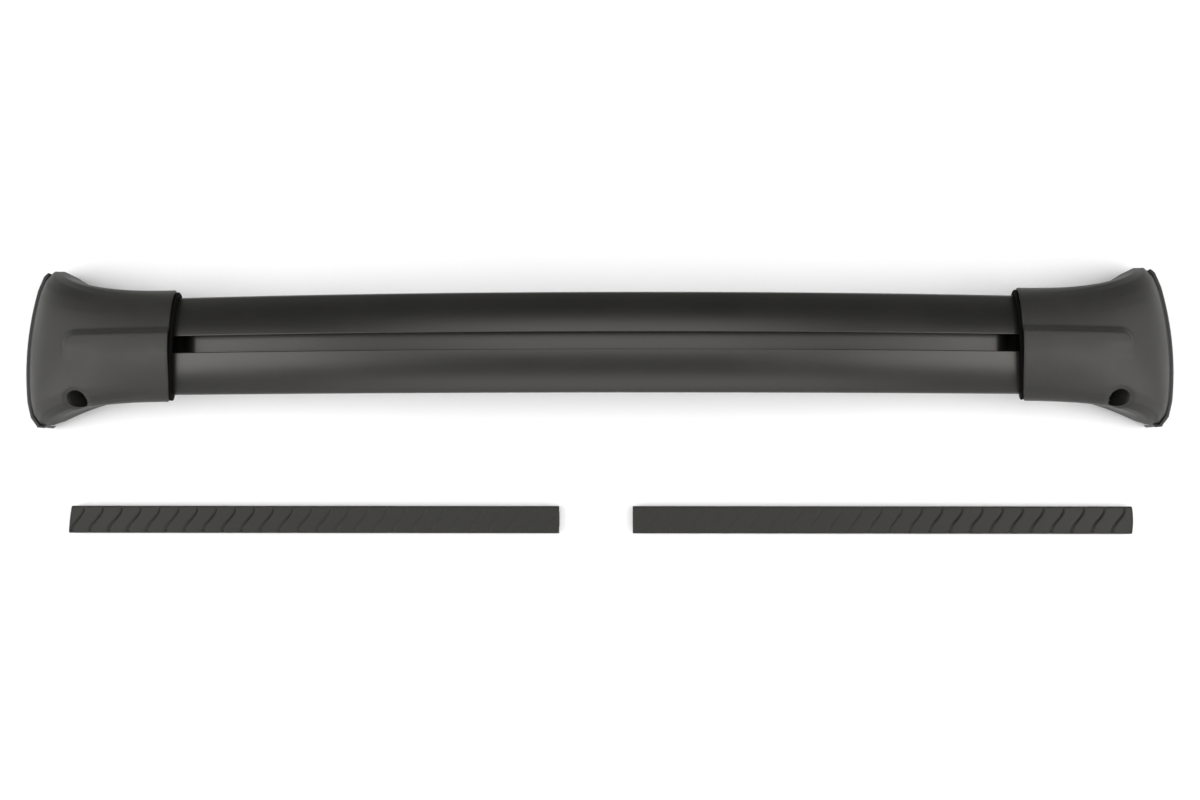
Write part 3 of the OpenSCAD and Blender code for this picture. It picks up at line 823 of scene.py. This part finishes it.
def bar_alloy():
    """Satin black anodising with faint drawing lines along the extrusion."""
    s = Shader("bar_alloy")
    around = s.nodes.new("ShaderNodeAttribute")
    around.attribute_name = "around"
    split = s.add("ShaderNodeSeparateXYZ", Vector=s.coord)
    join = s.add("ShaderNodeCombineXYZ", X=split.outputs["X"], Y=around.outputs["Fac"])
    lines = s.noise(1.0, 4.0, 0.6, s.stretch((3.0, 2600.0, 1.0), join.outputs["Vector"]))
    cloud = s.noise(14.0, 3.0)
    worn = s.edges(0.52, 0.60)
    color = s.mix(s.remap(cloud, 0.0, 1.0), (0.0062, 0.0062, 0.0056), (0.0090, 0.0088, 0.0080))
    color = s.mix(s.math("MULTIPLY", worn, 0.35), color, (0.05, 0.05, 0.05))
    rough = s.math("ADD", s.remap(lines, 0.30, 0.37), s.remap(cloud, -0.015, 0.02))
    normal = s.bump(lines, 0.10, 0.00012)
    normal = s.bump(s.noise(2400.0, 2.0), 0.08, 0.00005, normal)
    return s.done(color, rough, normal, ior=1.55)


def moulded(name, base, bright, rough, grain_scale, grain_depth, ior=1.5):
    """Fine-grained moulded plastic or rubber, lighter on its rubbed edges."""
    s = Shader(name)
    cloud = s.noise(22.0, 4.0)
    speck = s.noise(900.0, 2.0)
    color = s.mix(s.remap(cloud, 0.0, 1.0), base, bright)
    flecks = tuple(min(1.0, c * 1.9) for c in bright)
    rubbed = tuple(min(1.0, c * 2.2) for c in bright)
    color = s.mix(s.remap(speck, 0.0, 0.25, 0.45, 0.75), color, flecks)
    color = s.mix(s.math("MULTIPLY", s.edges(0.52, 0.62), 0.4), color, rubbed)
    roughness = s.math("ADD", s.remap(cloud, rough - 0.05, rough + 0.05), s.remap(speck, -0.03, 0.03))
    normal = s.bump(s.grain(grain_scale), 0.35, grain_depth)
    normal = s.bump(s.noise(grain_scale * 0.35, 3.0), 0.25, grain_depth * 1.6, normal)
    return s.done(color, roughness, normal, ior=ior)


def cover_plastic():
    """The covers' moulded plastic, with painted shade inside the tool guide: it mirrors less towards the
    guide's inner end.
    """
    mat = moulded("cover_plastic", (0.0085, 0.0085, 0.0078), (0.0125, 0.0122, 0.0113),
                  0.50, 1900.0, 0.00016, 1.46)
    nodes, links = mat.node_tree.nodes, mat.node_tree.links
    # painted shade: the bore's wall mirrors less and so looks dark, in place of a real shadow in the hole
    painted_bore_shade = nodes.new("ShaderNodeAttribute")
    painted_bore_shade.attribute_name = "painted_bore_shade"
    level = nodes.new("ShaderNodeMapRange")
    links.new(painted_bore_shade.outputs["Fac"], level.inputs["Value"])
    for key, value in (("From Min", 0.0), ("From Max", 0.22), ("To Min", 0.5), ("To Max", 0.03)):
        level.inputs[key].default_value = value
    links.new(level.outputs["Result"], nodes["Principled BSDF"].inputs["Specular IOR Level"])
    return mat


def cast_base():
    """Black-coated die casting with a faint orange peel and bright spots on its edges."""
    s = Shader("cast_base")
    peel = s.noise(260.0, 3.0)
    cloud = s.noise(30.0, 4.0)
    color = s.mix(s.remap(cloud, 0.0, 1.0), (0.022, 0.022, 0.023), (0.034, 0.034, 0.034))
    chips = s.math("MULTIPLY", s.edges(0.50, 0.56), s.remap(s.noise(420.0, 4.0), 0.0, 1.0, 0.52, 0.60))
    color = s.mix(s.math("MULTIPLY", chips, 0.5), color, (0.25, 0.25, 0.25))
    normal = s.bump(peel, 0.35, 0.0004)
    return s.done(color, s.remap(cloud, 0.42, 0.56), normal, ior=1.5)


def zinc_steel():
    """Zinc-plated steel: mottled, with a slightly yellow bloom and fine turning marks."""
    s = Shader("zinc_steel")
    cloud = s.noise(160.0, 4.0)
    color = s.mix(s.remap(cloud, 0.0, 1.0), (0.42, 0.42, 0.42), (0.60, 0.58, 0.53))
    marks = s.noise(1800.0, 2.0)
    normal = s.bump(marks, 0.12, 0.0001)
    return s.done(color, s.remap(cloud, 0.26, 0.42), normal, metallic=1.0)


def make_materials():
    return {
        "bar_alloy": bar_alloy(),
        "cover_plastic": cover_plastic(),
        "lip_plastic": moulded("lip_plastic", (0.008, 0.008, 0.008), (0.012, 0.012, 0.012),
                               0.45, 2300.0, 0.00010, 1.44),
        "black_rubber": moulded("black_rubber", (0.001, 0.001, 0.001), (0.002, 0.002, 0.002),
                                0.85, 1500.0, 0.00012, 1.18),
        "strip_rubber": moulded("strip_rubber", (0.0085, 0.0085, 0.0078), (0.0135, 0.0133, 0.0122),
                                0.55, 1600.0, 0.00012, 1.42),
        "cast_base": cast_base(),
        "zinc_steel": zinc_steel(),
    }


# ---- putting it together ----

materials = make_materials()


def dress(obj, slot_name):
    obj.data.materials.clear()
    obj.data.materials.append(materials[slot_name])


def place(obj, body, slot_name, *nodes):
    dress(obj, slot_name)
    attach(obj, body)
    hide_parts(*nodes)


def build_object():
    """Every visible piece on its body, and a material on every CAD node that still shows."""
    place(bar_mesh(), "frame", "bar_alloy", "bar")
    for side in SIDES:
        place(foot_cover(side), "frame", "cover_plastic", f"{side}_foot_cover")
        place(mouth_seal(side), "frame", "black_rubber", f"{side}_mouth_seal")
        place(outer_lip(side), "frame", "lip_plastic", f"{side}_outer_lip")
        place(base_gasket(side), "frame", "black_rubber", f"{side}_base_gasket")
        rail = ribbed_block(f"{side}_ribbed_rail_pad", *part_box(f"{side}_rail_pad"), (0, 1, -3), 0.7, 16)
        place(rail, "frame", "black_rubber", f"{side}_rail_pad")
        face = (2, 1, 1) if SIDES[side] > 0 else (2, 1, -1)
        jaw = ribbed_block(f"{side}_ribbed_jaw_pad", *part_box(f"{side}_jaw_pad"), face, 0.5, 12)
        place(jaw, f"{side}_jaw", "black_rubber", f"{side}_jaw_pad")
        place(clamp_bolt(side), f"{side}_bolt", "zinc_steel", f"{side}_clamp_bolt")
        place(infill_strip(side), f"{side}_strip", "strip_rubber", f"{side}_infill_strip")
    slots = {part["node"]: part["material_slot"] for part in frame["record"]["subparts"]}
    for name, node in frame["nodes"].items():
        if not node.hide_render:
            dress(node, slots[name])


# ---- stage, lights and camera ----

def stage_floor():
    """A wide pale floor under the object."""
    size = 9.0
    obj = to_mesh("floor", [(-size / MM, -size / MM, 0), (size / MM, -size / MM, 0),
                            (size / MM, size / MM, 0), (-size / MM, size / MM, 0)], [(0, 1, 2, 3)])
    s = Shader("floor")
    color = s.mix(s.remap(s.noise(3.0, 2.0), 0.0, 1.0), (0.90, 0.90, 0.90), (0.93, 0.93, 0.93))
    obj.data.materials.append(s.done(color, 0.8, s.bump(s.noise(60.0), 0.02, 0.001)))


def area_light(name, place_at, size, radiance, aim=(0, 0.03, 0.05)):
    """A soft rectangular light of a given radiance, turned to face a point."""
    data = bpy.data.lights.new(name, "AREA")
    data.shape = "RECTANGLE"
    data.size, data.size_y = size
    data.energy = radiance * math.pi * size[0] * size[1]
    obj = bpy.data.objects.new(name, data)
    obj.location = place_at
    obj.rotation_euler = (Vector(aim) - Vector(place_at)).to_track_quat("-Z", "Y").to_euler()
    bpy.context.scene.collection.objects.link(obj)


def studio():
    """Four soft lights, and a sky that is brighter low down and in front."""
    area_light("overhead", (0.0, 0.40, 1.9), (1.5, 1.6), 2.1)
    for s in (-1, 1):
        area_light(f"side_{s}", (s * 1.55, -0.20, 1.25), (1.3, 1.6), 3.4)
    area_light("front", (0.0, -1.9, 1.5), (2.4, 0.9), 1.8)
    world = bpy.data.worlds.new("studio")
    bpy.context.scene.world = world
    world.use_nodes = True
    nodes, links = world.node_tree.nodes, world.node_tree.links
    coord = nodes.new("ShaderNodeTexCoord")
    split = nodes.new("ShaderNodeSeparateXYZ")
    ramp = nodes.new("ShaderNodeMapRange")
    behind = nodes.new("ShaderNodeMapRange")
    both = nodes.new("ShaderNodeMath")
    both.operation = "MULTIPLY"
    links.new(coord.outputs["Generated"], split.inputs[0])
    links.new(split.outputs["Z"], ramp.inputs["Value"])
    links.new(split.outputs["Y"], behind.inputs["Value"])
    for key, value in (("From Min", 0.12), ("From Max", 0.42), ("To Min", 1.3), ("To Max", 0.34)):
        ramp.inputs[key].default_value = value
    for key, value in (("From Min", -0.3), ("From Max", 0.5), ("To Min", 1.0), ("To Max", 0.35)):
        behind.inputs[key].default_value = value
    links.new(ramp.outputs["Result"], both.inputs[0])
    links.new(behind.outputs["Result"], both.inputs[1])
    links.new(both.outputs[0], nodes["Background"].inputs["Strength"])
    nodes["Background"].inputs["Color"].default_value = (1, 1, 1, 1)


def camera():
    """The viewpoint: almost straight down on the middle of the bar, a little from the front."""
    data = bpy.data.cameras.new("camera")
    data.sensor_width = 36
    data.lens = 32.47
    data.clip_start, data.clip_end = 0.05, 50
    obj = bpy.data.objects.new("camera", data)
    obj.location = (0.0226, -0.048, 0.9285)
    obj.rotation_euler = Euler([math.radians(a) for a in (3.1, 1.11, -0.01)], "XYZ")
    bpy.context.scene.collection.objects.link(obj)
    bpy.context.scene.camera = obj


build_object()
stage_floor()
studio()
camera()
bpy.context.scene.view_settings.view_transform = "Standard"
